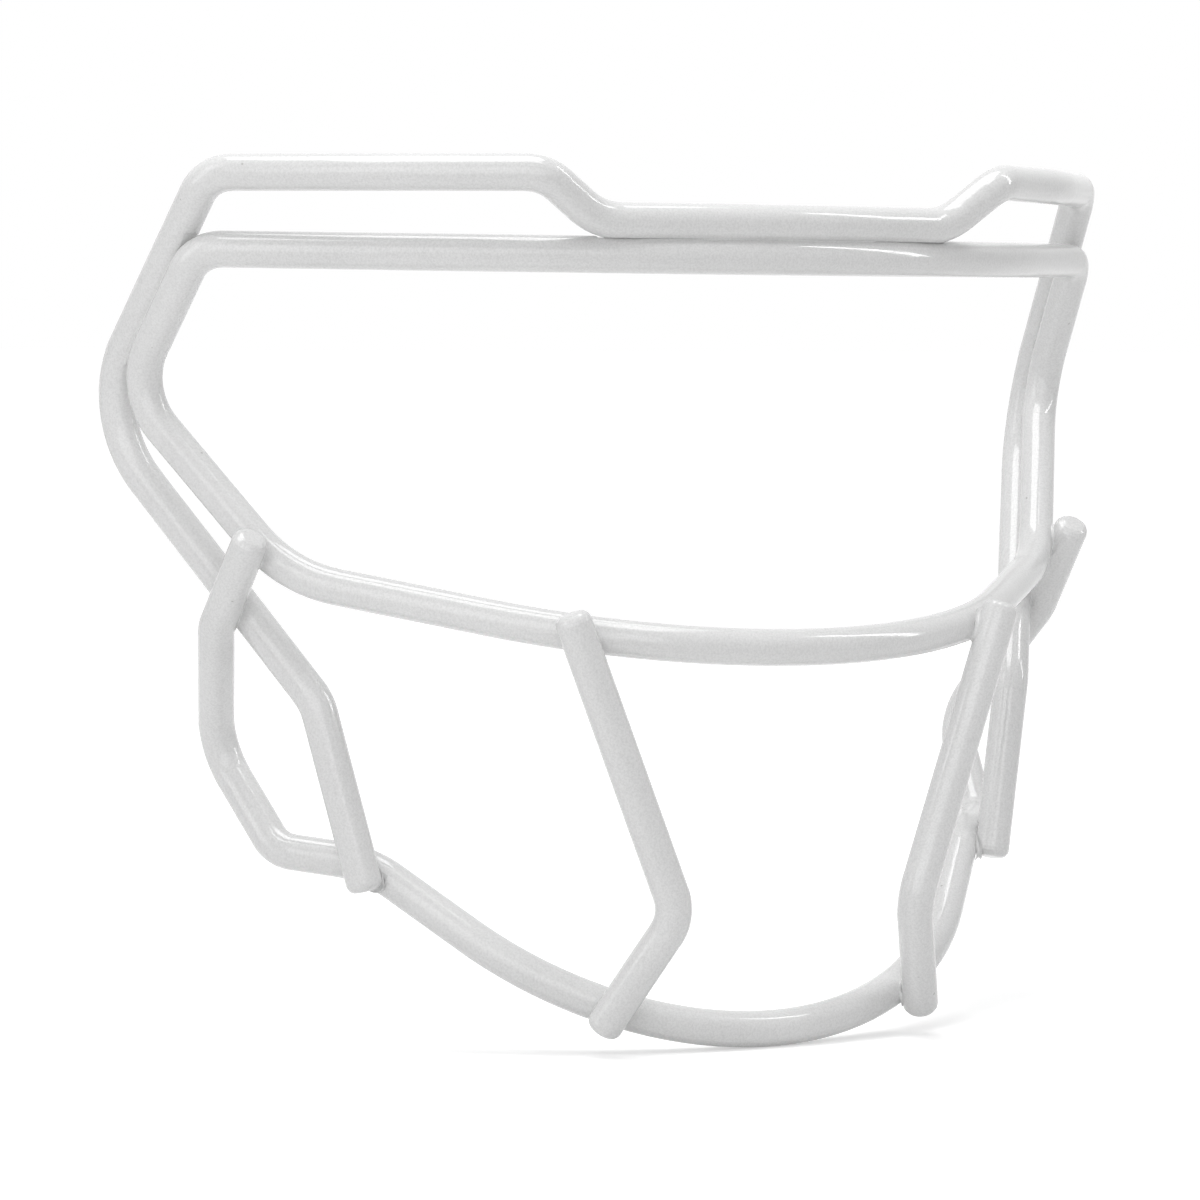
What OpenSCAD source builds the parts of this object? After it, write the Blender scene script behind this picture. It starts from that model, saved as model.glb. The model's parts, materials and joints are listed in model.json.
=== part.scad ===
// Wire face guard of a football helmet: five bent round steel bars, welded and then coated in plastic.
// +X is the wearer's left, -Y is the front, +Z is up. The brow bar lies level.

/* [Wire and coating] */
// Diameter of the bare steel bar
wire_d = 6.4; // [5.4:0.1:7.4]
// Thickness of the plastic coating
coat_t = 0.4; // [0.3:0.05:0.6]
// Weld metal left between two bars where they meet
weld_gap = 0.1; // [0.06:0.02:0.2]
// How round the edge of a coated bar end is
end_round = 1.8; // [0.8:0.2:2]

/* [Brow] */
// Front of the brow bar behind the front of the chin bar
brow_y = 10.5; // [7:0.5:14]
// Radius of the brow bar's bow
brow_r = 115; // [105:5:125]
// Half sweep of the brow bar's bow, in degrees
brow_sweep = 40; // [37:0.5:43]
// Straight run of the brow bar from its bow to the corner
brow_run = 38; // [34:1:42]
// Bend at the vision opening's upper corner
brow_bend_r = 8.5; // [7.5:0.5:11]

/* [Vision opening] */
// Half width at the temples
temple_x = 108; // [105:0.5:111]
// Temples behind the chin bar's front
temple_y = 81.5; // [78:0.5:85]
// Temples below the brow bar
temple_drop = 28; // [25:0.5:30]
// Bend at the temple
temple_bend_r = 12.5; // [12:0.5:14]
// Chin bar's front below the brow bar
chin_drop = 75.5; // [72:0.5:79]
// Radius of the chin bar's bow
chin_r = 83; // [77:1:89]
// Half sweep of the chin bar's bow, in degrees
chin_sweep = 45; // [42:0.5:47]
// Straight run of the chin bar from its bow to the lower corner
chin_run = 41; // [37:1:45]
// Rise of the chin bar's plane toward the back, in degrees
chin_rise = 13; // [10:0.5:16]
// Bend at the vision opening's lower corner
cheek_bend_r = 31; // [26:1:34]

/* [Outer bar] */
// Direction of the outer bar from the vision loop's side, in degrees behind straight outward
side_turn = 80; // [70:2:90]
// Outer bar's side above the brow corner, along the bar
side_up = 13.5; // [11:0.5:16]
// Outer bar's side below the temple bend, along the bar
side_down = 11; // [10.5:0.5:13]
// Bend at the top corner
top_bend_r = 9; // [7:0.5:10]
// Bend at the widest point
wide_bend_r = 22; // [18:1:23]
// Half width of the raised shoulders' inner ends
shoulder_x = 52; // [51:0.5:55]
// Shoulders' inner ends behind the chin bar's front
shoulder_y = 15; // [13:0.5:18]
// Height of the shoulders above the brow bar
shoulder_rise = 15.5; // [14:0.5:18]
// Outward bow of each shoulder
shoulder_bow = 3; // [1.5:0.5:4.5]
// Radius of each shoulder's bow
shoulder_r = 85; // [75:5:100]
// Bend from shoulder into the brow dip
dip_top_r = 8; // [7:0.5:10]
// Bend at the foot of the brow dip
dip_foot_r = 13.5; // [11:0.5:15]
// Half sweep of the dip along the brow bar, in degrees
dip_sweep = 10; // [8.5:0.5:11.5]
// Straight run of the dip from its bow to its foot
dip_run = 20; // [18:0.5:21]
// Half width at the lower side bends
flank_x = 81.5; // [80:0.5:83]
// Lower side bends behind the chin bar's front
flank_y = 51; // [49:0.5:53]
// Lower side bends below the brow bar
flank_drop = 88; // [85:0.5:91]
// Bend at the lower side
flank_bend_r = 10; // [8:0.5:12]
// Where the outer bar's end crosses the jaw bar, along it from the jaw bar's lower side bend
outer_end_at = 21; // [17:0.5:23]
// How far the outer bar's end runs past the middle of the jaw bar
outer_end_over = 3; // [2.5:0.5:6]

/* [Jaw bar] */
// Where the jaw bar's end crosses the vision loop, along it from the temple
jaw_end_at = 43; // [40:0.5:46]
// How far the jaw bar's end runs past the middle of the vision loop
jaw_end_over = 5.5; // [4:0.5:8]
// Where the jaw bar crosses the outer bar, from the widest point
jaw_cross_at = 50.5; // [47:0.5:52]
// Straight length of the jaw bar from that crossing to where it starts to bend
jaw_cross_over = 1.5; // [1.5:0.5:5]
// Bend just below the crossing
jaw_top_bend_r = 10; // [8:1:18]
// Half width at the jaw bar's rear bends
jaw_rear_x = 88; // [86:0.5:90]
// Rear bends behind the chin bar's front
jaw_rear_y = 83; // [80:0.5:86]
// Rear bends below the brow bar
jaw_rear_drop = 99.5; // [97:0.5:102]
// Jaw bar's rear bend
jaw_rear_bend_r = 10; // [8:0.5:12]
// Half width at the jaw bar's lower side bends
jaw_low_x = 83; // [80.5:0.5:84.5]
// Lower side bends behind the chin bar's front
jaw_low_y = 65; // [63:0.5:68]
// Lower side bends below the brow bar
jaw_low_drop = 118.5; // [116:0.5:121]
// Jaw bar's lower side bend
jaw_low_bend_r = 8; // [7:0.5:9]
// Front of the jaw bar behind the front of the chin bar
jaw_front_y = 13; // [11:0.5:16]
// Front of the jaw bar below the brow bar
jaw_front_drop = 152; // [149:0.5:155]
// Radius of the jaw bar's front bow
jaw_r = 68; // [64:1:72]
// Half sweep of the jaw bar's front bow, in degrees
jaw_sweep = 55; // [53:0.5:57]
// Straight run of the jaw bar from its front bow to the side
jaw_run = 25; // [22:1:28]
// Rise of the jaw bar's front plane toward the back, in degrees
jaw_rise = 40; // [38:0.5:42]
// Bend where the jaw bar's front meets its side
jaw_side_bend_r = 26; // [22:1:30]

/* [Chin verticals] */
// Half width between the verticals' tops, where they cross the chin bar
vertical_top_x = 44; // [41:0.5:47]
// Half width between their bottoms, where they cross the jaw bar
vertical_foot_x = 33; // [30:0.5:36]
// Half width at the verticals' bend
vertical_bend_x = 27; // [25:0.5:29]
// The verticals' bend behind the chin bar's front
vertical_bend_y = 3; // [1:0.5:6]
// The verticals' bend below the brow bar
vertical_bend_drop = 127; // [123:0.5:129]
// The verticals' bend radius
vertical_bend_r = 9.5; // [8:0.5:12]
// How far their upper ends run past the middle of the chin bar
vertical_top_over = 5.5; // [3:0.5:8]
// How far their lower ends run past the middle of the jaw bar
vertical_foot_over = 3; // [2.5:0.5:6]

/* [Hidden] */

bar_r = wire_d / 2;
coat_r = bar_r + coat_t;
// Centre lines of two bars welded together
pitch = wire_d + weld_gap;
// Half width of the flat where two coated bars meet
flat_w = sqrt(coat_r * coat_r - pitch * pitch / 4);
// Half width of a coated bar as deep inside its flat as the other bar's coating would reach
deep_w = sqrt(coat_r * coat_r - (pitch - coat_r) * (pitch - coat_r));
// Weld metal fills the pinch between two bars and stays under the coating
weld_r = flat_w * 0.9;
// Length of a weld along two bars that lie side by side
seam_len = 14;
// Facets round weld metal, whose web is thin beside the bars
weld_fn = 240;
// A bend is a hair fatter than the straight that runs into it
swell = 0.02;
lap = 0.4;

function unit(v) = v / norm(v);
function flip(p) = [-p[0], p[1], p[2]];
function across(v, t) = v - (v * t) * t;
function bound(x) = max(-1, min(1, x));
// Facets round a circle in the drawn mesh, with none much over 2 mm long
function facets(r) = max(48, 8 * ceil(r * 0.4));

// Point on a bow: a level or tilted symmetric arc through front, that runs on straight past its half sweep
function bow_at(front, r, sweep, rise, along) =
  let (back = [0, cos(rise), sin(rise)], a = min(sweep, along / r * 180 / PI),
       run = max(0, along - r * sweep * PI / 180))
  front + [r * sin(a) + run * cos(a), 0, 0] + back * (r * (1 - cos(a)) + run * sin(a));
function bow_dir(r, sweep, rise, along) =
  let (a = min(sweep, along / r * 180 / PI)) [cos(a), sin(a) * cos(rise), sin(a) * sin(rise)];
// Length along a bow to a given half width
function bow_len(r, sweep, x) =
  x < r * sin(sweep) ? asin(x / r) * PI / 180 * r : r * sweep * PI / 180 + (x - r * sin(sweep)) / cos(sweep);
// Where a bow's two straight runs would meet
function bow_apex(front, r, sweep, rise) =
  front - [0, cos(rise), sin(rise)] * (r / cos(sweep) - r);

// A bend at corner p: its turn, centre, and the way from the centre to where it starts
function turn_at(prev, p, next) = 180 - acos(bound(unit(prev - p) * unit(next - p)));
function bend_mid(prev, p, next, r) =
  p + unit(unit(prev - p) + unit(next - p)) * r / cos(turn_at(prev, p, next) / 2);
function bend_start(prev, p, next, r) = p + unit(prev - p) * r * tan(turn_at(prev, p, next) / 2);
// Centre-line point and direction a length past the start of a bend, or before it on the straight
function bend_at(prev, p, next, r, along) =
  let (s = bend_start(prev, p, next, r), c = bend_mid(prev, p, next, r), t = unit(p - prev),
       u = unit(s - c), a = max(0, along) / r * 180 / PI)
  [c + r * (u * cos(a) + t * sin(a)) + t * min(0, along), t * cos(a) - u * sin(a)];

// Corner of the bend that starts at s on a straight along t and leads to next; gap is the guess to it
function corner_past(s, t, next, r, gap, n) =
  n == 0 ? s + t * gap : corner_past(s, t, next, r, r * tan(turn_at(s - t, s + t * gap, next) / 2), n - 1);

// Centre-line point of a bar from p that lies on the bar through q along t, on the side that side points to
function rest_on(p, q, t, side) =
  let (c = across(p - q, t), e = unit(c), f = cross(t, e), a = acos(bound(pitch / norm(c))),
       one = e * cos(a) + f * sin(a), two = e * cos(a) - f * sin(a))
  q + pitch * (one * side > two * side ? one : two);
// Both contact points of a bar that lies on two others
function rest_on_two(p, q1, t1, q2, t2, side, n) =
  let (b = rest_on(p, q2, t2, side), a = rest_on(b, q1, t1, side)) n == 0 ? [a, b]
  : rest_on_two(a, q1, t1, q2, t2, side, n - 1);

// Vision loop
brow_front = [0, brow_y, 0];
brow_corner = bow_at(brow_front, brow_r, brow_sweep, 0, brow_r * brow_sweep * PI / 180 + brow_run);
chin_front = [0, 0, -chin_drop];
cheek = bow_at(chin_front, chin_r, chin_sweep, chin_rise, chin_r * chin_sweep * PI / 180 + chin_run);
chin_apex = bow_apex(chin_front, chin_r, chin_sweep, chin_rise);
temple = [temple_x, temple_y, -temple_drop];
loop_half = [brow_corner, temple, cheek];
loop_half_r = [brow_bend_r, temple_bend_r, cheek_bend_r];
loop_pts = concat([bow_apex(brow_front, brow_r, brow_sweep, 0)], loop_half,
  [chin_apex], [for (i = [2 : -1 : 0]) flip(loop_half[i])]);
loop_r = concat([brow_r], loop_half_r, [chin_r], [for (i = [2 : -1 : 0]) loop_half_r[i]]);

// Outer bar, beside the vision loop's side
side_dir = unit(temple - brow_corner);
side_out = unit(across([1, 0, 0], side_dir));
side_back = cross(side_dir, side_out) * (cross(side_dir, side_out)[1] > 0 ? 1 : -1);
side_off = pitch * (side_out * cos(side_turn) + side_back * sin(side_turn));
top_corner = brow_corner - side_dir * side_up + side_off;
wide = temple + side_dir * side_down + side_off;
shoulder = [shoulder_x, shoulder_y, shoulder_rise];
shoulder_mid = (top_corner + shoulder) / 2 + shoulder_bow * unit(cross([0, 0, 1], shoulder - top_corner));
dip_front = brow_front + [0, 0, pitch];
dip_foot = bow_at(dip_front, brow_r, dip_sweep, 0, brow_r * dip_sweep * PI / 180 + dip_run);
flank = [flank_x, flank_y, -flank_drop];

// Jaw bar, across the vision loop's cheek and the outer bar's side
jaw_low = [jaw_low_x, jaw_low_y, -jaw_low_drop];
jaw_front = [0, jaw_front_y, -jaw_front_drop];
jaw_side = bow_at(jaw_front, jaw_r, jaw_sweep, jaw_rise, jaw_r * jaw_sweep * PI / 180 + jaw_run);
jaw_apex = bow_apex(jaw_front, jaw_r, jaw_sweep, jaw_rise);
loop_seat = bend_at(temple, cheek, chin_apex, cheek_bend_r,
  jaw_end_at - norm(bend_start(temple, cheek, chin_apex, cheek_bend_r) - temple));
outer_drop_dir = unit(flank - wide);
outer_seat = wide + outer_drop_dir * jaw_cross_at;
jaw_seats = rest_on_two(loop_seat[0] + [pitch, 0, 0], loop_seat[0], loop_seat[1], outer_seat, outer_drop_dir,
  [1, -0.6, 0], 6);
jaw_dir = unit(jaw_seats[1] - jaw_seats[0]);
jaw_end = jaw_seats[0] - jaw_dir * jaw_end_over;
jaw_rear = [jaw_rear_x, jaw_rear_y, -jaw_rear_drop];
jaw_top = corner_past(jaw_seats[1] + jaw_dir * jaw_cross_over, jaw_dir, jaw_rear, jaw_top_bend_r, 0, 8);
jaw_half = [jaw_end, jaw_top, jaw_rear, jaw_low, jaw_side];
jaw_half_r = [0, jaw_top_bend_r, jaw_rear_bend_r, jaw_low_bend_r, jaw_side_bend_r];
jaw_pts = concat(jaw_half, [jaw_apex], [for (i = [4 : -1 : 0]) flip(jaw_half[i])]);
jaw_rs = concat(jaw_half_r, [jaw_r], [for (i = [4 : -1 : 0]) jaw_half_r[i]]);

// Outer bar's lower end on the jaw bar
low_seat = bend_at(jaw_low, jaw_side, jaw_apex, jaw_side_bend_r,
  outer_end_at - norm(bend_start(jaw_low, jaw_side, jaw_apex, jaw_side_bend_r) - jaw_low));
outer_rest = rest_on(flank, low_seat[0], low_seat[1], [1, -1, 0]);
outer_end_dir = unit(outer_rest - flank);
outer_half = [outer_rest + outer_end_dir * outer_end_over, flank, wide, top_corner, shoulder_mid, shoulder,
  dip_foot];
outer_half_r = [0, flank_bend_r, wide_bend_r, top_bend_r, shoulder_r, dip_top_r, dip_foot_r];
outer_pts = concat(outer_half, [bow_apex(dip_front, brow_r, dip_sweep, 0)],
  [for (i = [6 : -1 : 0]) flip(outer_half[i])]);
outer_r = concat(outer_half_r, [brow_r], [for (i = [6 : -1 : 0]) outer_half_r[i]]);

// Chin verticals
vertical_bend = [vertical_bend_x, vertical_bend_y, -vertical_bend_drop];
top_along = bow_len(chin_r, chin_sweep, vertical_top_x);
chin_seat = bow_at(chin_front, chin_r, chin_sweep, chin_rise, top_along);
chin_seat_dir = bow_dir(chin_r, chin_sweep, chin_rise, top_along);
top_rest = rest_on(vertical_bend, chin_seat, chin_seat_dir, [0, -1, 0]);
top_dir = unit(top_rest - vertical_bend);
foot_along = bow_len(jaw_r, jaw_sweep, vertical_foot_x);
jaw_seat = bow_at(jaw_front, jaw_r, jaw_sweep, jaw_rise, foot_along);
jaw_seat_dir = bow_dir(jaw_r, jaw_sweep, jaw_rise, foot_along);
foot_rest = rest_on(vertical_bend, jaw_seat, jaw_seat_dir, [0, -1, -0.3]);
foot_dir = unit(foot_rest - vertical_bend);
vertical_pts = [top_rest + top_dir * vertical_top_over, vertical_bend,
  foot_rest + foot_dir * vertical_foot_over];
vertical_r = [0, vertical_bend_r, 0];

// Welded crossings: one bar's centre point and direction, then the other's
jaw_end_joint = [loop_seat[0], loop_seat[1], jaw_seats[0], jaw_dir];
jaw_crossing_joint = [outer_seat, outer_drop_dir, jaw_seats[1], jaw_dir];
outer_end_joint = [low_seat[0], low_seat[1], outer_rest, outer_end_dir];
vertical_top_joint = [chin_seat, chin_seat_dir, top_rest, top_dir];
vertical_foot_joint = [jaw_seat, jaw_seat_dir, foot_rest, foot_dir];
function other(joint) = [joint[2], joint[3], joint[0], joint[1]];

// The part stands on its lowest point, midway between its front and its widest bends behind
bottom = -jaw_front_drop - coat_r;
wide_way = cross(unit(top_corner - wide), unit(flank - wide));
rear = bend_mid(top_corner, wide, flank, wide_bend_r)[1] + coat_r
  + wide_bend_r * sqrt(1 - pow(wide_way[1] / norm(wide_way), 2));
middle = (rear - coat_r) / 2;

// Straight round bar, with its free ends rounded
module bar(p, q, r, round_p = 0, round_q = 0, fn = 0) {
  d = q - p;
  h = norm(d);
  edge = [for (a = [0 : 22.5 : 90]) [sin(a), 1 - cos(a)]];
  translate(p) rotate([0, acos(bound(d[2] / h)), atan2(d[1], d[0])])
    rotate_extrude($fn = max(fn, facets(r))) polygon(concat([[0, 0]],
      round_p > 0 ? [for (e = edge) [r - round_p * (1 - e[0]), round_p * e[1]]] : [[r, 0]],
      round_q > 0 ? [for (i = [len(edge) - 1 : -1 : 0])
        [r - round_q * (1 - edge[i][0]), h - round_q * edge[i][1]]] : [[r, h]],
      [[0, h]]));
}

// Bent round bar
module elbow(prev, p, next, bend_r, r) {
  c = bend_mid(prev, p, next, bend_r);
  t = unit(p - prev);
  u = unit(bend_start(prev, p, next, bend_r) - c);
  w = cross(u, t);
  multmatrix([[u[0], t[0], w[0], c[0]], [u[1], t[1], w[1], c[1]], [u[2], t[2], w[2], c[2]], [0, 0, 0, 1]])
    rotate_extrude(angle = turn_at(prev, p, next), $fn = facets(bend_r))
      translate([bend_r, 0]) circle(r = r, $fn = facets(r));
}

// Bar through corner points with a bend radius at each; trim shortens its free ends
module bent_bar(pts, rs, r, closed = false, trim = 0, round_end = 0) {
  n = len(pts);
  for (i = [0 : n - (closed ? 1 : 2)]) {
    j = (i + 1) % n;
    d = unit(pts[j] - pts[i]);
    first = !closed && i == 0;
    last = !closed && j == n - 1;
    bar(first ? pts[i] + d * trim : bend_start(pts[j], pts[i], pts[(i + n - 1) % n], rs[i]) - d * lap,
      last ? pts[j] - d * trim : bend_start(pts[i], pts[j], pts[(j + 1) % n], rs[j]) + d * lap,
      r - swell, first ? round_end : 0, last ? round_end : 0);
  }
  for (i = [closed ? 0 : 1 : n - (closed ? 1 : 2)])
    elbow(pts[(i + n - 1) % n], pts[i], pts[(i + 1) % n], rs[i], r);
}

module outer_bar(r, trim = 0, round_end = 0) bent_bar(outer_pts, outer_r, r, false, trim, round_end);
module vision_loop(r) bent_bar(loop_pts, loop_r, r, true);
module jaw_bar(r, trim = 0, round_end = 0) bent_bar(jaw_pts, jaw_rs, r, false, trim, round_end);
module chin_vertical(r, trim = 0, round_end = 0)
  bent_bar(vertical_pts, vertical_r, r, false, trim, round_end);

// Stands children up between the bars through p along t and through q: Y' along the bar, Z' toward q
module between(p, q, t) {
  z = unit(q - p);
  y = unit(across(t, z));
  x = cross(y, z);
  m = (p + q) / 2;
  multmatrix([[x[0], y[0], z[0], m[0]], [x[1], y[1], z[1], m[1]], [x[2], y[2], z[2], m[2]], [0, 0, 0, 1]])
    children();
}

// Flat where the coating of a joint's first bar meets the other bar
module crossing_flat(joint) {
  c = abs(joint[1] * joint[3]);
  h = (deep_w + flat_w * c) / sqrt(1 - c * c);
  between(joint[0], joint[2], joint[1]) translate([-coat_r, -h, 0]) cube([2 * coat_r, 2 * h, 2 * coat_t]);
}
// The same along the side, from the brow corner to a length past it
module side_flat(q_first, length) {
  p = brow_corner + (q_first ? side_off : [0, 0, 0]);
  q = brow_corner + (q_first ? [0, 0, 0] : side_off);
  between(p, q, side_dir) translate([-coat_r, -flat_w, 0]) cube([2 * coat_r, length + flat_w, 2 * coat_t]);
}
// And along the brow, where the outer bar dips onto the brow bar
module brow_flat(down) translate([-dip_foot[0], brow_y - coat_r, pitch / 2 - (down ? 2 * coat_t : 0)])
  cube([2 * dip_foot[0], dip_foot[1] - brow_y + 3 * coat_r, 2 * coat_t]);

// Weld metal at a crossing, and its piece once the two bars are taken out
module weld_spot(joint) between(joint[0], joint[2], joint[1])
  cylinder(r = weld_r, h = 3 * coat_t, center = true, $fn = weld_fn);
module weld_piece(joint) difference() {
  weld_spot(joint);
  for (j = [joint, other(joint)]) bar(j[0] - j[1] * bar_r, j[0] + j[1] * bar_r, bar_r, fn = weld_fn);
}
// Weld metal along the side, between the vision loop and the outer bar
side_weld_at = (brow_corner + temple - side_dir * seam_len) / 2;
module side_seam(shift, r, over = 0) bar(side_weld_at + side_off * shift - side_dir * over,
  side_weld_at + side_off * shift + side_dir * (seam_len + over), r, fn = weld_fn);
// Weld metal along the brow bar's bow
module brow_seam(shift, r, over = 0) {
  sweep = (seam_len + 2 * over) / brow_r * 180 / PI;
  translate([0, brow_y + brow_r, pitch * shift]) rotate([0, 0, -90 - sweep / 2])
    rotate_extrude(angle = sweep, $fn = facets(brow_r)) translate([brow_r, 0]) circle(r = r, $fn = weld_fn);
}
module both() {
  children();
  mirror([1, 0, 0]) children();
}
module placed() translate([0, -middle, -bottom]) children();

module outer_bar_steel() color("silver") placed() outer_bar(bar_r, coat_t, end_round - coat_t);
module vision_loop_steel() color("silver") placed() vision_loop(bar_r);
module jaw_bar_steel() color("silver") placed() jaw_bar(bar_r, coat_t, end_round - coat_t);
module chin_vertical_steel_left() color("silver") placed() chin_vertical(bar_r, coat_t, end_round - coat_t);
module chin_vertical_steel_right() mirror([1, 0, 0]) chin_vertical_steel_left();

module outer_bar_coating() color("ivory") placed() difference() {
  outer_bar(coat_r, 0, end_round);
  outer_bar(bar_r, coat_t, end_round - coat_t);
  brow_flat(true);
  brow_seam(0.5, weld_r);
  both() {
    side_flat(true, norm(bend_start(top_corner, wide, flank, wide_bend_r) - side_off - brow_corner) + 2 * lap);
    side_seam(0.5, weld_r);
    crossing_flat(jaw_crossing_joint);
    weld_spot(jaw_crossing_joint);
    crossing_flat(other(outer_end_joint));
    weld_spot(outer_end_joint);
  }
}
module vision_loop_coating() color("white") placed() difference() {
  vision_loop(coat_r);
  vision_loop(bar_r);
  brow_flat(false);
  brow_seam(0.5, weld_r);
  both() {
    side_flat(false, norm(temple - brow_corner));
    side_seam(0.5, weld_r);
    crossing_flat(jaw_end_joint);
    weld_spot(jaw_end_joint);
    crossing_flat(vertical_top_joint);
    weld_spot(vertical_top_joint);
  }
}
module jaw_bar_coating() color("whitesmoke") placed() difference() {
  jaw_bar(coat_r, 0, end_round);
  jaw_bar(bar_r, coat_t, end_round - coat_t);
  both() {
    crossing_flat(other(jaw_end_joint));
    weld_spot(jaw_end_joint);
    crossing_flat(other(jaw_crossing_joint));
    weld_spot(jaw_crossing_joint);
    crossing_flat(outer_end_joint);
    weld_spot(outer_end_joint);
    crossing_flat(vertical_foot_joint);
    weld_spot(vertical_foot_joint);
  }
}
module chin_vertical_coating_left() color("gainsboro") placed() difference() {
  chin_vertical(coat_r, 0, end_round);
  chin_vertical(bar_r, coat_t, end_round - coat_t);
  crossing_flat(other(vertical_top_joint));
  weld_spot(vertical_top_joint);
  crossing_flat(other(vertical_foot_joint));
  weld_spot(vertical_foot_joint);
}
module chin_vertical_coating_right() mirror([1, 0, 0]) chin_vertical_coating_left();

module brow_weld() color("dimgray") placed() difference() {
  brow_seam(0.5, weld_r);
  brow_seam(0, bar_r, 1);
  brow_seam(1, bar_r, 1);
}
module temple_weld_left() color("dimgray") placed() difference() {
  side_seam(0.5, weld_r);
  side_seam(0, bar_r, 1);
  side_seam(1, bar_r, 1);
}
module temple_weld_right() mirror([1, 0, 0]) temple_weld_left();
module jaw_end_weld_left() color("dimgray") placed() weld_piece(jaw_end_joint);
module jaw_end_weld_right() mirror([1, 0, 0]) jaw_end_weld_left();
module jaw_crossing_weld_left() color("dimgray") placed() weld_piece(jaw_crossing_joint);
module jaw_crossing_weld_right() mirror([1, 0, 0]) jaw_crossing_weld_left();
module outer_end_weld_left() color("dimgray") placed() weld_piece(outer_end_joint);
module outer_end_weld_right() mirror([1, 0, 0]) outer_end_weld_left();
module vertical_top_weld_left() color("dimgray") placed() weld_piece(vertical_top_joint);
module vertical_top_weld_right() mirror([1, 0, 0]) vertical_top_weld_left();
module vertical_foot_weld_left() color("dimgray") placed() weld_piece(vertical_foot_joint);
module vertical_foot_weld_right() mirror([1, 0, 0]) vertical_foot_weld_left();

outer_bar_steel();
vision_loop_steel();
jaw_bar_steel();
chin_vertical_steel_left();
chin_vertical_steel_right();
outer_bar_coating();
vision_loop_coating();
jaw_bar_coating();
chin_vertical_coating_left();
chin_vertical_coating_right();
brow_weld();
temple_weld_left();
temple_weld_right();
jaw_end_weld_left();
jaw_end_weld_right();
jaw_crossing_weld_left();
jaw_crossing_weld_right();
outer_end_weld_left();
outer_end_weld_right();
vertical_top_weld_left();
vertical_top_weld_right();
vertical_foot_weld_left();
vertical_foot_weld_right();
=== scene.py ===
import json
import math

import bpy
import bmesh
import numpy as np
from mathutils import Matrix, Vector
from mathutils.bvhtree import BVHTree


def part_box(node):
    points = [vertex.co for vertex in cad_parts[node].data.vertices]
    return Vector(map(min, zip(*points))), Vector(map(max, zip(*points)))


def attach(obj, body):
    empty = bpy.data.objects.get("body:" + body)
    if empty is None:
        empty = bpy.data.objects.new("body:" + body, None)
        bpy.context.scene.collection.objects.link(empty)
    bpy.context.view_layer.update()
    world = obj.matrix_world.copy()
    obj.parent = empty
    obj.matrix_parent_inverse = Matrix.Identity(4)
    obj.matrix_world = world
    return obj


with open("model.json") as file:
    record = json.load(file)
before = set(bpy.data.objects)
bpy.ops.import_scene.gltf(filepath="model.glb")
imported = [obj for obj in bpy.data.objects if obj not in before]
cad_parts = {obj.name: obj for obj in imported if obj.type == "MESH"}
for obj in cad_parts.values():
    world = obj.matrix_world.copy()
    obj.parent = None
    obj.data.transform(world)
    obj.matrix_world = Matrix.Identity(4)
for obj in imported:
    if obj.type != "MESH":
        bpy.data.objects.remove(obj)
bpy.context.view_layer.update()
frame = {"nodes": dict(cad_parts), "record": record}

# Bars, in metres
COAT_R = 0.0036              # radius of a coated bar
COAT_T = 0.0004              # thickness of the coating
END_ROUND = 0.0018           # rounding of a coated bar's free end
PITCH = 0.0065               # centre lines of two bars welded together
BROW_R = 0.115               # bow of the brow bar

# Fillets of coating, in metres and degrees
FILLET = 0.0010              # gap between two crossing bars that the coating fills
SEAM_FILLET = 0.0008         # the same between two bars side by side
HOLLOW = 0.42                # how far a fillet's face curves in, as a share of its gap
SINK = 0.00008               # how far a fillet's edge dips under the bar it ends on
ROOT_T = 0.0005              # thickness of a fillet's root, hidden between the bars
SEAM_ROOT = 0.0009           # root of a fillet along a seam, from the middle between the bars
TEMPLE_HALF = 0.014          # half length of the fillets at a temple
BROW_HALF = 11.5             # half sweep of the fillets at the brow

# The photograph's view, in degrees, millimetres and metres
VIEW_TURN = 29.4164          # from the front round to the wearer's right
VIEW_DOWN = 3.9113           # down from level
ROLL = 0.81                  # tilt of the picture
LENS = 153.65
SENSOR = 36
CAMERA_AT = (-0.523, -0.8877, 0.1565)
MIDDLE = Vector((0, 0, 0.09))  # about the part's middle, which the lamps face

WHITE = (1, 1, 1, 1)


# Nodes

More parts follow.
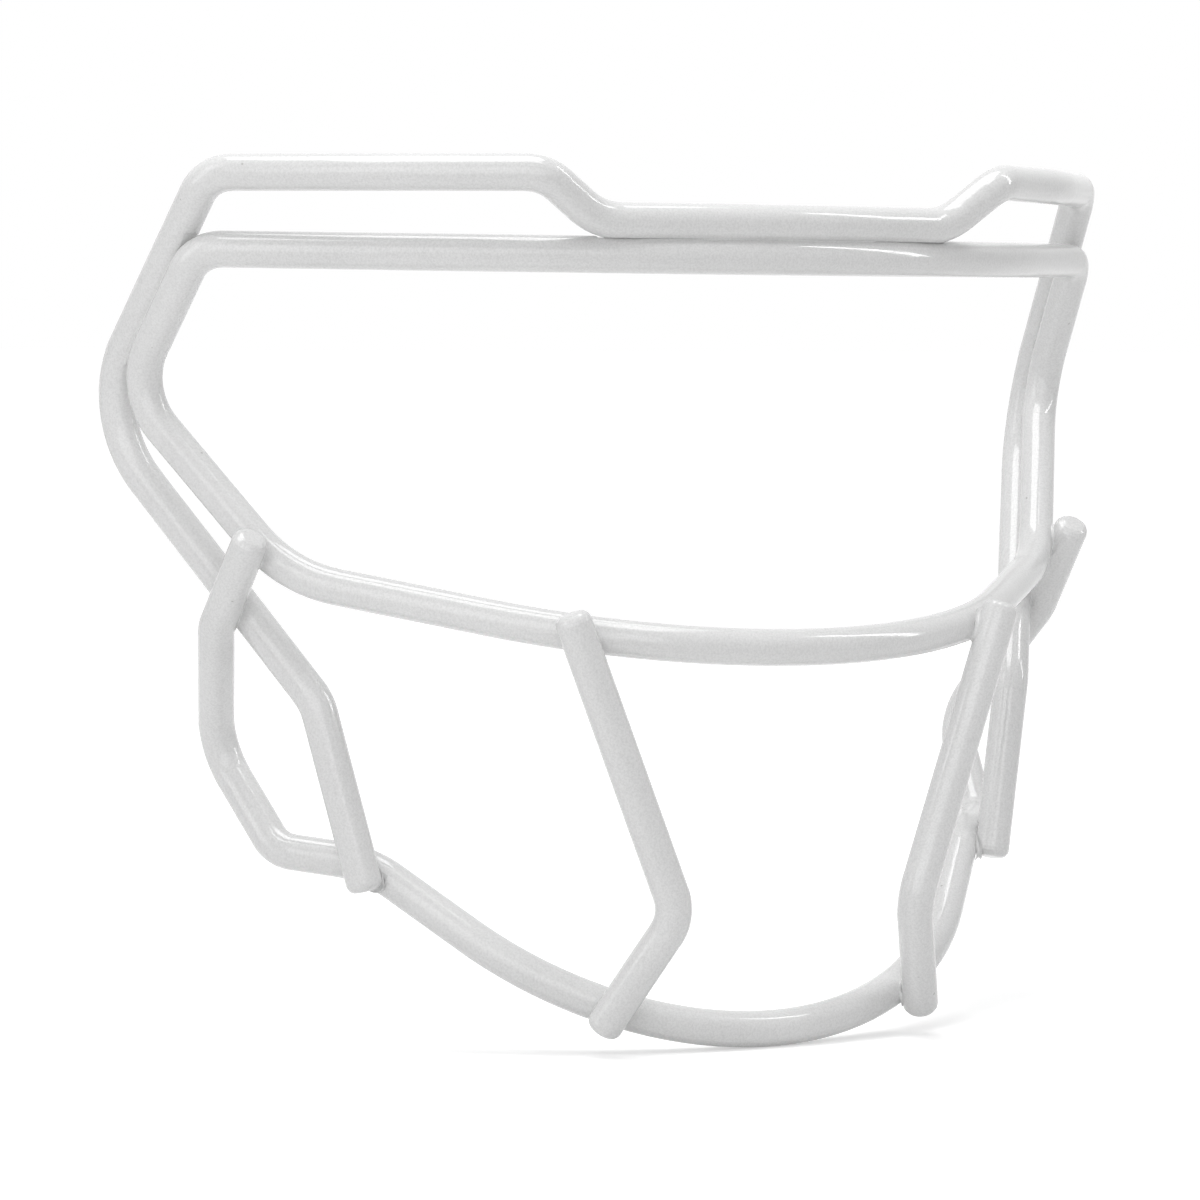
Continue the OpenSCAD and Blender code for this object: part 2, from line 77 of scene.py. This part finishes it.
class Nodes:
    """Short way to wire a material or the world."""

    def __init__(self, owner, output="ShaderNodeOutputMaterial"):
        owner.use_nodes = True
        self.owner = owner
        self.tree = owner.node_tree
        self.tree.nodes.clear()
        self.out = self.add(output)

    def add(self, kind, **inputs):
        node = self.tree.nodes.new(kind)
        for key, value in inputs.items():
            self.put(node.inputs[key.replace("_", " ")], value)
        return node

    def put(self, socket, value):
        if isinstance(value, bpy.types.NodeSocket):
            self.tree.links.new(value, socket)
        else:
            socket.default_value = value

    def coord(self):
        """Places on the object, in metres."""
        return self.add("ShaderNodeTexCoord").outputs["Object"]

    def noise(self, scale, detail=2.0, rough=0.5, distortion=0.0):
        return self.add("ShaderNodeTexNoise", Vector=self.coord(), Scale=scale, Detail=detail,
                        Roughness=rough, Distortion=distortion).outputs["Fac"]

    def ramp(self, value, *stops):
        """Grey level or colour for a value, from stops of a position and a level."""
        node = self.add("ShaderNodeValToRGB", Fac=value)
        ramp = node.color_ramp
        while len(ramp.elements) < len(stops):
            ramp.elements.new(0.5)
        for element, (at, level) in zip(ramp.elements, stops):
            element.position = at
            element.color = (level if isinstance(level, tuple) else (level, level, level)) + (1,)
        return node.outputs["Color"]

    def times(self, one, two):
        """Product of two colours; a Mix node's colours are its inputs 6 and 7 and its output 2."""
        node = self.add("ShaderNodeMix", Factor=1.0)
        node.data_type = "RGBA"
        node.blend_type = "MULTIPLY"
        self.put(node.inputs[6], one)
        self.put(node.inputs[7], two)
        return node.outputs[2]

    def largest(self, one, two):
        node = self.add("ShaderNodeMath")
        node.operation = "MAXIMUM"
        self.put(node.inputs[0], one)
        self.put(node.inputs[1], two)
        return node.outputs[0]

    def bump(self, height, strength, distance, under=None):
        node = self.add("ShaderNodeBump", Height=height, Strength=strength, Distance=distance)
        if under is not None:
            self.put(node.inputs["Normal"], under)
        return node.outputs["Normal"]

    def choose(self, factor, one, two):
        """The first shader where the factor is 0, and the second where it is 1."""
        node = self.add("ShaderNodeMixShader", Fac=factor)
        self.put(node.inputs[1], one.outputs[0])
        self.put(node.inputs[2], two.outputs[0])
        return node

    def shade(self, shader):
        self.put(self.out.inputs["Surface"], shader.outputs[0])
        return self.owner


def new_material(name):
    return Nodes(bpy.data.materials.new(name))


# Materials

def coating_material():
    """White dip coating: orange peel, a fine grain, slow changes of tone and a few dark specks."""
    m = new_material("white_dip_coating")
    tone = m.ramp(m.noise(28, detail=3), (0.35, (0.780, 0.780, 0.779)), (0.65, (0.810, 0.810, 0.809)))
    grain = m.ramp(m.noise(2300, detail=3, rough=0.7), (0.34, 0.88), (0.60, 1.0))
    specks = m.ramp(m.noise(620, detail=1, rough=0.4), (0.165, (0.70, 0.69, 0.68)), (0.180, 1.0))
    gloss = m.ramp(m.noise(160, detail=3, rough=0.6), (0.3, 0.09), (0.7, 0.13))
    peel = m.bump(m.noise(620, rough=0.45), strength=0.10, distance=0.00008)
    fine = m.bump(m.noise(2400, rough=0.6), strength=0.12, distance=0.00003, under=peel)
    waves = m.bump(m.noise(75, distortion=0.3), strength=0.16, distance=0.00025, under=fine)
    return m.shade(m.add("ShaderNodeBsdfPrincipled", Base_Color=m.times(m.times(tone, grain), specks),
                         Roughness=gloss, IOR=1.55, Normal=waves))


def steel_material():
    """Drawn steel bar, hidden under the coating."""
    m = new_material("drawn_steel_bar")
    streaks = m.noise(90, detail=4, rough=0.6, distortion=2.0)
    colour = m.ramp(streaks, (0.3, (0.36, 0.36, 0.37)), (0.7, (0.52, 0.52, 0.53)))
    gloss = m.ramp(m.noise(340, detail=3), (0.3, 0.32), (0.7, 0.5))
    return m.shade(m.add("ShaderNodeBsdfPrincipled", Base_Color=colour, Metallic=1.0, Roughness=gloss,
                         Normal=m.bump(streaks, strength=0.2, distance=0.0001)))


def weld_material():
    """Weld metal with heat tints, hidden under the coating."""
    m = new_material("weld_metal")
    heat = m.noise(420, detail=4, rough=0.65)
    colour = m.ramp(heat, (0.25, (0.16, 0.14, 0.13)), (0.55, (0.34, 0.30, 0.26)), (0.8, (0.42, 0.42, 0.45)))
    gloss = m.ramp(heat, (0.3, 0.35), (0.7, 0.65))
    return m.shade(m.add("ShaderNodeBsdfPrincipled", Base_Color=colour, Metallic=1.0, Roughness=gloss,
                         Normal=m.bump(heat, strength=0.4, distance=0.0002)))


# CAD nodes

def dress_frame(**materials):
    """Give each CAD node the material of its slot."""
    for sub in frame["record"]["subparts"]:
        mesh = frame["nodes"][sub["node"]].data
        mesh.materials.clear()
        mesh.materials.append(materials[sub["material_slot"]])


# Where the bars run

def surface_of(node):
    mesh = frame["nodes"][node].data
    return BVHTree.FromPolygons([v.co for v in mesh.vertices], [tuple(p.vertices) for p in mesh.polygons])


def middle_of(node):
    low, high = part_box(node)
    return (low + high) / 2


def even_ways(count):
    """Directions spread evenly over a ball."""
    golden = math.pi * (3 - math.sqrt(5))
    for i in range(count):
        z = 1 - 2 * (i + 0.5) / count
        r = math.sqrt(1 - z * z)
        yield Vector((r * math.cos(golden * i), r * math.sin(golden * i), z))


def bar_at(surface, at):
    """Centre-line point and direction of the coated bar near a joint, from where rays land on its skin."""
    start = 0.011       # rays set out this far from the joint, toward it
    cut = 0.0022        # nearer hits lie on the flat between the two bars
    facing = 0.05       # a hit on the skin faces the ray by at least this much
    tie = 50            # holds the point level with the joint along the bar
    pull, push, turn = np.zeros((3, 3)), np.zeros(3), np.zeros((3, 3))
    for way in even_ways(700):
        spot, normal, _, _ = surface.ray_cast(at + way * start, -way, start * 0.9)
        if spot is None or (spot - at).length < cut or normal.dot(way) < facing:
            continue
        across = np.outer(normal, normal)
        pull += np.eye(3) - across
        push += (np.eye(3) - across) @ np.array(spot)
        turn += across
    along = Vector(np.linalg.eigh(turn)[1][:, 0]).normalized()
    level = np.outer(along, along) * tie
    return Vector(np.linalg.solve(pull + level, push + level @ np.array(at))), along


def bars_at(at, nodes):
    return (bar_at(surface_of(node), at) for node in nodes)


def centred(at, p, q, *axes):
    """A joint's point moved along some axes to half way between its two bars."""
    off = (p + q) / 2 - at
    return at + sum((axis * off.dot(axis) for axis in axes), Vector())


def end_after(surface, centre, along):
    """Distance to a bar's free end on one side, or a long one where the bar goes on."""
    near, far = 0.008, 1.0
    spot, _, _, gap = surface.ray_cast(centre, along, near)
    return gap + COAT_T if spot is not None else far


def bar_radius(z, end):
    """Radius of a coated bar, which rounds off toward its free end."""
    if z >= end:
        return 0.0
    into = max(0.0, z - (end - END_ROUND)) / END_ROUND
    return COAT_R - END_ROUND * (1 - math.sqrt(1 - into * into))


def rise(rho, turn, ends):
    """Height of a bar's skin above its centre line, at a distance and direction from the joint's middle."""
    z = rho * math.cos(turn)
    r = bar_radius(abs(z), ends[0] if z > 0 else ends[1])
    x = rho * math.sin(turn)
    return math.sqrt(r * r - x * x) if r > abs(x) else 0.0


def reach_of(gap, turn_a, ends_a, turn_b, ends_b):
    """How far out from the joint's middle the two skins are a gap apart, found by halving the range."""
    low, high = 0.0, 0.007
    for _ in range(30):
        rho = (low + high) / 2
        if PITCH - rise(rho, turn_a, ends_a) - rise(rho, turn_b, ends_b) < gap:
            low = rho
        else:
            high = rho
    return low


# Coating where bars meet

def place(name, data):
    """A new object in the scene."""
    thing = bpy.data.objects.new(name, data)
    bpy.context.scene.collection.objects.link(thing)
    return thing


def mesh_piece(name, rings, material, closed):
    """A tube through rings of points, closed on itself or with a cap at each end."""
    mesh = bpy.data.meshes.new(name)
    k, n = len(rings[0]), len(rings)
    faces = []
    for i in range(n if closed else n - 1):
        here, after = i * k, (i + 1) % n * k
        faces += [(here + j, here + (j + 1) % k, after + (j + 1) % k, after + j) for j in range(k)]
    if not closed:
        faces += [tuple(reversed(range(k))), tuple(range((n - 1) * k, n * k))]
    mesh.from_pydata([p for ring in rings for p in ring], [], faces)
    fix = bmesh.new()
    fix.from_mesh(mesh)
    bmesh.ops.recalc_face_normals(fix, faces=fix.faces)
    fix.to_mesh(mesh)
    fix.free()
    for face in mesh.polygons:
        face.use_smooth = True
    mesh.materials.append(material)
    piece = place(name, mesh)
    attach(piece, "root")


def section(out, low, high, gap, root):
    """Cross-section of a fillet: a hollow face between two skins, closed well inside the crease."""
    steps = 9
    face = [(out - gap * HOLLOW * math.sin(math.pi * i / steps), low + (high - low) * i / steps)
            for i in range(steps + 1)]
    return face + [(root, ROOT_T / 2), (root, -ROOT_T / 2)]


def crossing_fillet(weld, bars, material):
    """Coating that has drawn into the crease all round a crossing."""
    steps = 72
    root_share = 0.8    # the root lies this far out, as a share of the crease
    at = middle_of(weld)
    skins = [surface_of(b) for b in bars]
    (p, t), (q, s) = (bar_at(skin, at) for skin in skins)
    up = t.cross(s).normalized()
    if up.dot(q - p) < 0:
        up.negate()
    side = up.cross(t)
    lean = math.atan2(s.dot(side), s.dot(t))
    middle = centred(at, p, q, up)
    ends_a = end_after(skins[0], p, t), end_after(skins[0], p, -t)
    ends_b = end_after(skins[1], q, s), end_after(skins[1], q, -s)
    rings = []
    for i in range(steps):
        turn = math.tau * i / steps
        crease = reach_of(0.0, turn, ends_a, turn - lean, ends_b)
        out = reach_of(FILLET, turn, ends_a, turn - lean, ends_b)
        low = -PITCH / 2 + rise(out, turn, ends_a) - SINK
        high = PITCH / 2 - rise(out, turn - lean, ends_b) + SINK
        way = t * math.cos(turn) + side * math.sin(turn)
        rings.append([middle + way * r + up * h
                      for r, h in section(out, low, high, FILLET, crease * root_share)])
    mesh_piece(weld.replace("weld", "fillet"), rings, material, True)


def seam_fillet(name, path, material):
    """Coating in the crease along two bars side by side; path gives middle, way out, up and fullness."""
    rings = []
    for middle, out, up, full in path:
        gap = SEAM_FILLET * full
        x = math.sqrt(COAT_R ** 2 - ((PITCH - gap) / 2) ** 2)
        rings.append([middle + out * r + up * h
                      for r, h in section(x, -gap / 2 - SINK, gap / 2 + SINK, gap, SEAM_ROOT)])
    mesh_piece(name, rings, material, False)


def along_seam(half_steps, fade):
    """Positions from -1 to 1 along a seam, each with its fullness, which fades over 1/fade at each end."""
    for i in range(2 * half_steps + 1):
        x = i / half_steps - 1
        full = min(1.0, (1 - abs(x)) * fade)
        yield x, full * full * (3 - 2 * full)


def temple_fillets(weld, material):
    at = middle_of(weld)
    (p, t), (q, _) = bars_at(at, ("vision_loop_coating", "outer_bar_coating"))
    up = (q - p - t * (q - p).dot(t)).normalized()
    out = up.cross(t)
    middle = centred(at, p, q, up, out)
    for side, end in ((1, "_a"), (-1, "_b")):
        path = [(middle + t * TEMPLE_HALF * x, out * side, up, full) for x, full in along_seam(20, fade=3)]
        seam_fillet(weld.replace("weld", "fillet") + end, path, material)


def brow_fillets(material):
    (p, _), (q, _) = bars_at(middle_of("brow_weld"), ("vision_loop_coating", "outer_bar_coating"))
    up = Vector((0, 0, 1))
    centre = Vector((0, p.y + BROW_R, (p.z + q.z) / 2))
    for side, end in ((1, "front"), (-1, "back")):
        path = []
        for x, full in along_seam(30, fade=5):
            angle = math.radians(BROW_HALF) * x
            out = Vector((math.sin(angle), -math.cos(angle), 0))
            path.append((centre + out * BROW_R, out * side, up, full))
        seam_fillet("brow_fillet_" + end, path, material)


def make_fillets(material):
    brow_fillets(material)
    for hand in ("left", "right"):
        temple_fillets(f"temple_weld_{hand}", material)
        for weld, one, two in (("jaw_end", "vision_loop_coating", "jaw_bar_coating"),
                               ("jaw_crossing", "outer_bar_coating", "jaw_bar_coating"),
                               ("outer_end", "jaw_bar_coating", "outer_bar_coating"),
                               ("vertical_top", "vision_loop_coating", f"chin_vertical_coating_{hand}"),
                               ("vertical_foot", "jaw_bar_coating", f"chin_vertical_coating_{hand}")):
            crossing_fillet(f"{weld}_weld_{hand}", (one, two), material)


# Stage

def sees_background(m):
    """1 for the rays that should see the plain white background."""
    rays = m.add("ShaderNodeLightPath").outputs
    return m.largest(m.largest(rays["Is Camera Ray"], rays["Is Glossy Ray"]), rays["Is Transmission Ray"])


def floor_material():
    """Pale floor that takes the object's shadow; a glow that grows with distance holds it white."""
    m = new_material("pale_floor")
    fleck = m.ramp(m.noise(35, detail=3), (0.3, 0.80), (0.7, 0.82))
    away = m.add("ShaderNodeVectorMath")
    away.operation = "LENGTH"
    m.put(away.inputs[0], m.coord())
    spread = m.add("ShaderNodeMapRange", Value=away.outputs["Value"], From_Min=0.25, From_Max=2.2,
                   To_Min=0.46, To_Max=0.90)
    glow = m.add("ShaderNodeEmission", Color=WHITE, Strength=spread.outputs["Result"])
    seen = m.add("ShaderNodeAddShader")
    m.put(seen.inputs[0], m.add("ShaderNodeBsdfDiffuse", Color=fleck).outputs[0])
    m.put(seen.inputs[1], glow.outputs[0])
    bounce = m.add("ShaderNodeBsdfDiffuse", Color=(0.78, 0.78, 0.78, 1))
    return m.shade(m.choose(sees_background(m), bounce, seen))


def make_floor():
    edge = 6.0
    corners = [(-edge, -edge, 0), (edge, -edge, 0), (edge, edge, 0), (-edge, edge, 0)]
    mesh = bpy.data.meshes.new("floor")
    mesh.from_pydata(corners, [], [(0, 1, 2, 3)])
    mesh.materials.append(floor_material())
    place("floor", mesh)


def make_world():
    """A dim white fill on the object, and plain white where the world itself is seen."""
    world = bpy.data.worlds.new("studio")
    bpy.context.scene.world = world
    m = Nodes(world, "ShaderNodeOutputWorld")
    fill = m.add("ShaderNodeBackground", Color=WHITE, Strength=0.17)
    plain = m.add("ShaderNodeBackground", Color=WHITE, Strength=1.0)
    m.shade(m.choose(sees_background(m), fill, plain))


def from_view(right, up, near):
    """A place as the camera sees it: to the right, up, and toward the camera from the part's middle."""
    turn = math.radians(VIEW_TURN)
    return MIDDLE + Vector((right * math.cos(turn) - near * math.sin(turn),
                            -right * math.sin(turn) - near * math.cos(turn), up))


def soft_light(name, at, size, watts):
    data = bpy.data.lights.new(name, "AREA")
    data.shape = "RECTANGLE"
    data.size, data.size_y = size
    data.energy = watts
    lamp = place(name, data)
    lamp.location = at
    lamp.rotation_euler = (MIDDLE - at).to_track_quat("-Z", "Y").to_euler()


def make_lights():
    soft_light("key_front", from_view(-0.22, 0.26, 1.11), size=(1.3, 0.8), watts=5.0)
    soft_light("overhead", from_view(-0.1, 1.2, 0.0), size=(1.0, 0.9), watts=11.5)
    soft_light("left_panel", from_view(-1.0, 0.42, 0.42), size=(0.4, 0.9), watts=1.9)
    soft_light("right_strip", from_view(0.86, 0.58, -0.04), size=(0.08, 0.8), watts=2.1)


def make_camera():
    """The photograph's view: from the front, 29 degrees round to the wearer's right, nearly level."""
    data = bpy.data.cameras.new("photo_view")
    data.sensor_width = SENSOR
    data.lens = LENS
    camera = place("photo_view", data)
    turn, down = math.radians(VIEW_TURN), math.radians(VIEW_DOWN)
    aim = Vector((math.sin(turn) * math.cos(down), math.cos(turn) * math.cos(down), -math.sin(down)))
    upright = aim.to_track_quat("-Z", "Y").to_matrix()
    camera.rotation_euler = (upright @ Matrix.Rotation(math.radians(ROLL), 3, "Z")).to_euler()
    camera.location = CAMERA_AT
    bpy.context.scene.camera = camera


make_camera()
make_world()
make_lights()
make_floor()
coating = coating_material()
dress_frame(coating=coating, steel=steel_material(), weld=weld_material())
make_fillets(coating)
bpy.context.scene.view_settings.view_transform = "Standard"
